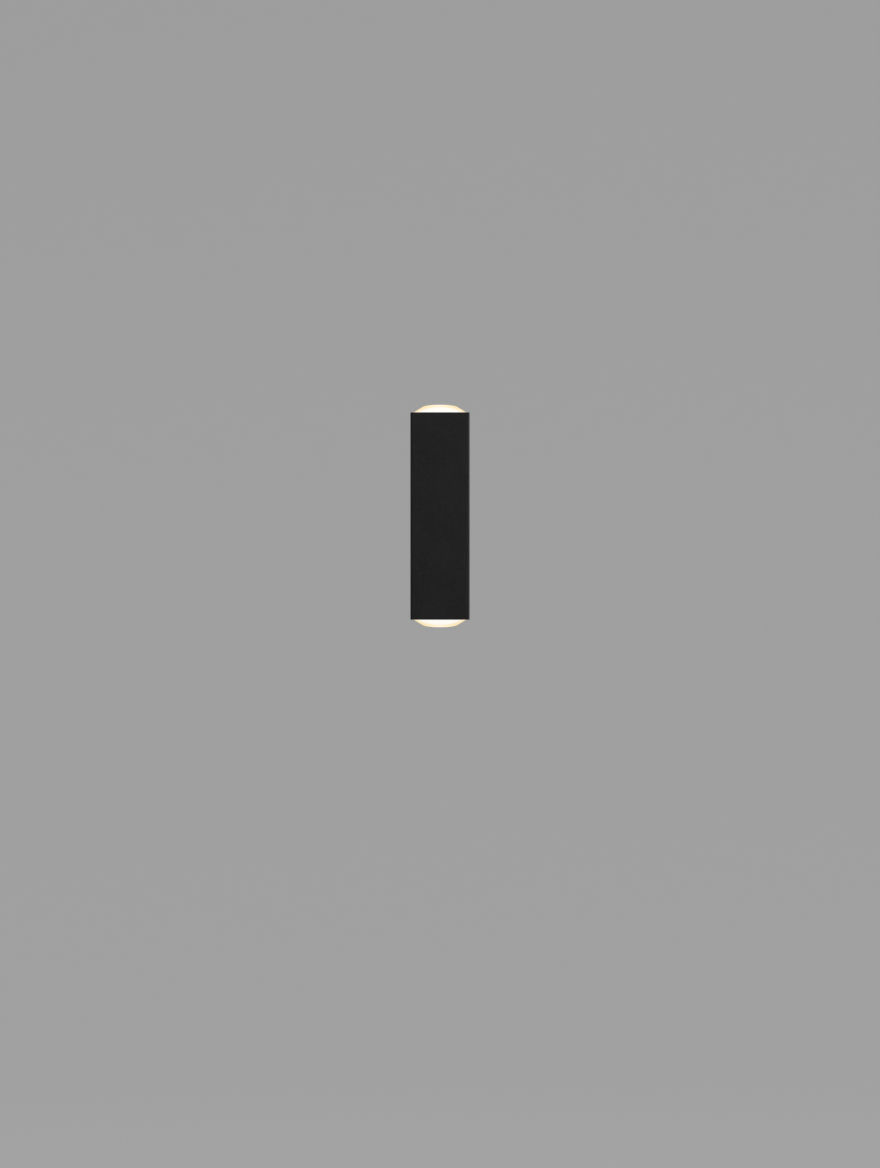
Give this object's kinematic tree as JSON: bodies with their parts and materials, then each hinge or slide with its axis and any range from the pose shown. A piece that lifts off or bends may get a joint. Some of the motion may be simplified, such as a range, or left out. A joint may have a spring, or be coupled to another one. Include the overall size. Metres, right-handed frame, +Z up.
{
  "type": "wall light",
  "caption": "Square black up-and-down wall light with a glowing faceted lens at each end, drawn straight off a hidden wall bracket once its side screws are loosened.",
  "frame": {"origin": "centre of the two wall-screw slots, on the wall surface", "axes": "+X to the right seen from the room, +Y into the wall, +Z up"},
  "size_m": [0.05, 0.0515, 0.189],
  "materials": {
    "powder_coat": "matte",
    "gasket_rubber": "matte",
    "black_steel": "satin",
    "lens_acrylic": "clear",
    "silicone": "matte",
    "cast_aluminium": "satin",
    "thermal_pad": "matte",
    "board_white": "satin",
    "emitter": "gloss",
    "steel_screw": "satin",
    "sheet_aluminium": "satin",
    "driver_plastic": "matte",
    "terminal_nylon": "matte",
    "brass": "satin",
    "tinned_copper": "satin",
    "lead_brown": "matte",
    "lead_blue": "matte",
    "lead_green": "matte",
    "lead_red": "matte",
    "lead_white": "matte",
    "lead_black": "matte",
    "zinc_steel": "satin"
  },
  "bodies": {
    "wall_bracket": {"wall_bracket": "zinc_steel", "cable_grommet": "gasket_rubber", "bracket_earth_screw": "brass", "bracket_earth_washer": "brass"},
    "light_body": {"housing": "powder_coat", "wall_gasket": "gasket_rubber", "clinch_nuts": "black_steel", "lock_screws": "black_steel", "lens_top": "lens_acrylic", "lens_bottom": "lens_acrylic", "lens_seal_top": "silicone", "lens_seal_bottom": "silicone", "heat_sink_top": "cast_aluminium", "heat_sink_bottom": "cast_aluminium", "thermal_pad_top": "thermal_pad", "thermal_pad_bottom": "thermal_pad", "led_board_top": "board_white", "led_board_bottom": "board_white", "led_emitter_top": "emitter", "led_emitter_bottom": "emitter", "lens_screws": "steel_screw", "led_board_screws": "steel_screw", "heat_sink_screws": "steel_screw", "gear_tray": "sheet_aluminium", "tray_screws": "steel_screw", "led_driver": "driver_plastic", "driver_screws": "steel_screw", "tray_grommet": "gasket_rubber", "terminal_block": "terminal_nylon", "terminal_barrels": "brass", "terminal_screws": "steel_screw", "terminal_block_screws": "steel_screw", "earth_lug": "tinned_copper", "earth_screw": "brass", "lead_live": "lead_brown", "lead_neutral": "lead_blue", "lead_earth": "lead_green", "lead_led_positive": "lead_red", "lead_led_link": "lead_white", "lead_led_negative": "lead_black"}
  },
  "joints": [
    {"name": "body_release", "type": "slide", "parent": "wall_bracket", "child": "light_body", "axis": [0, -1, 0], "range_m": [0, 0.06]}
  ]
}
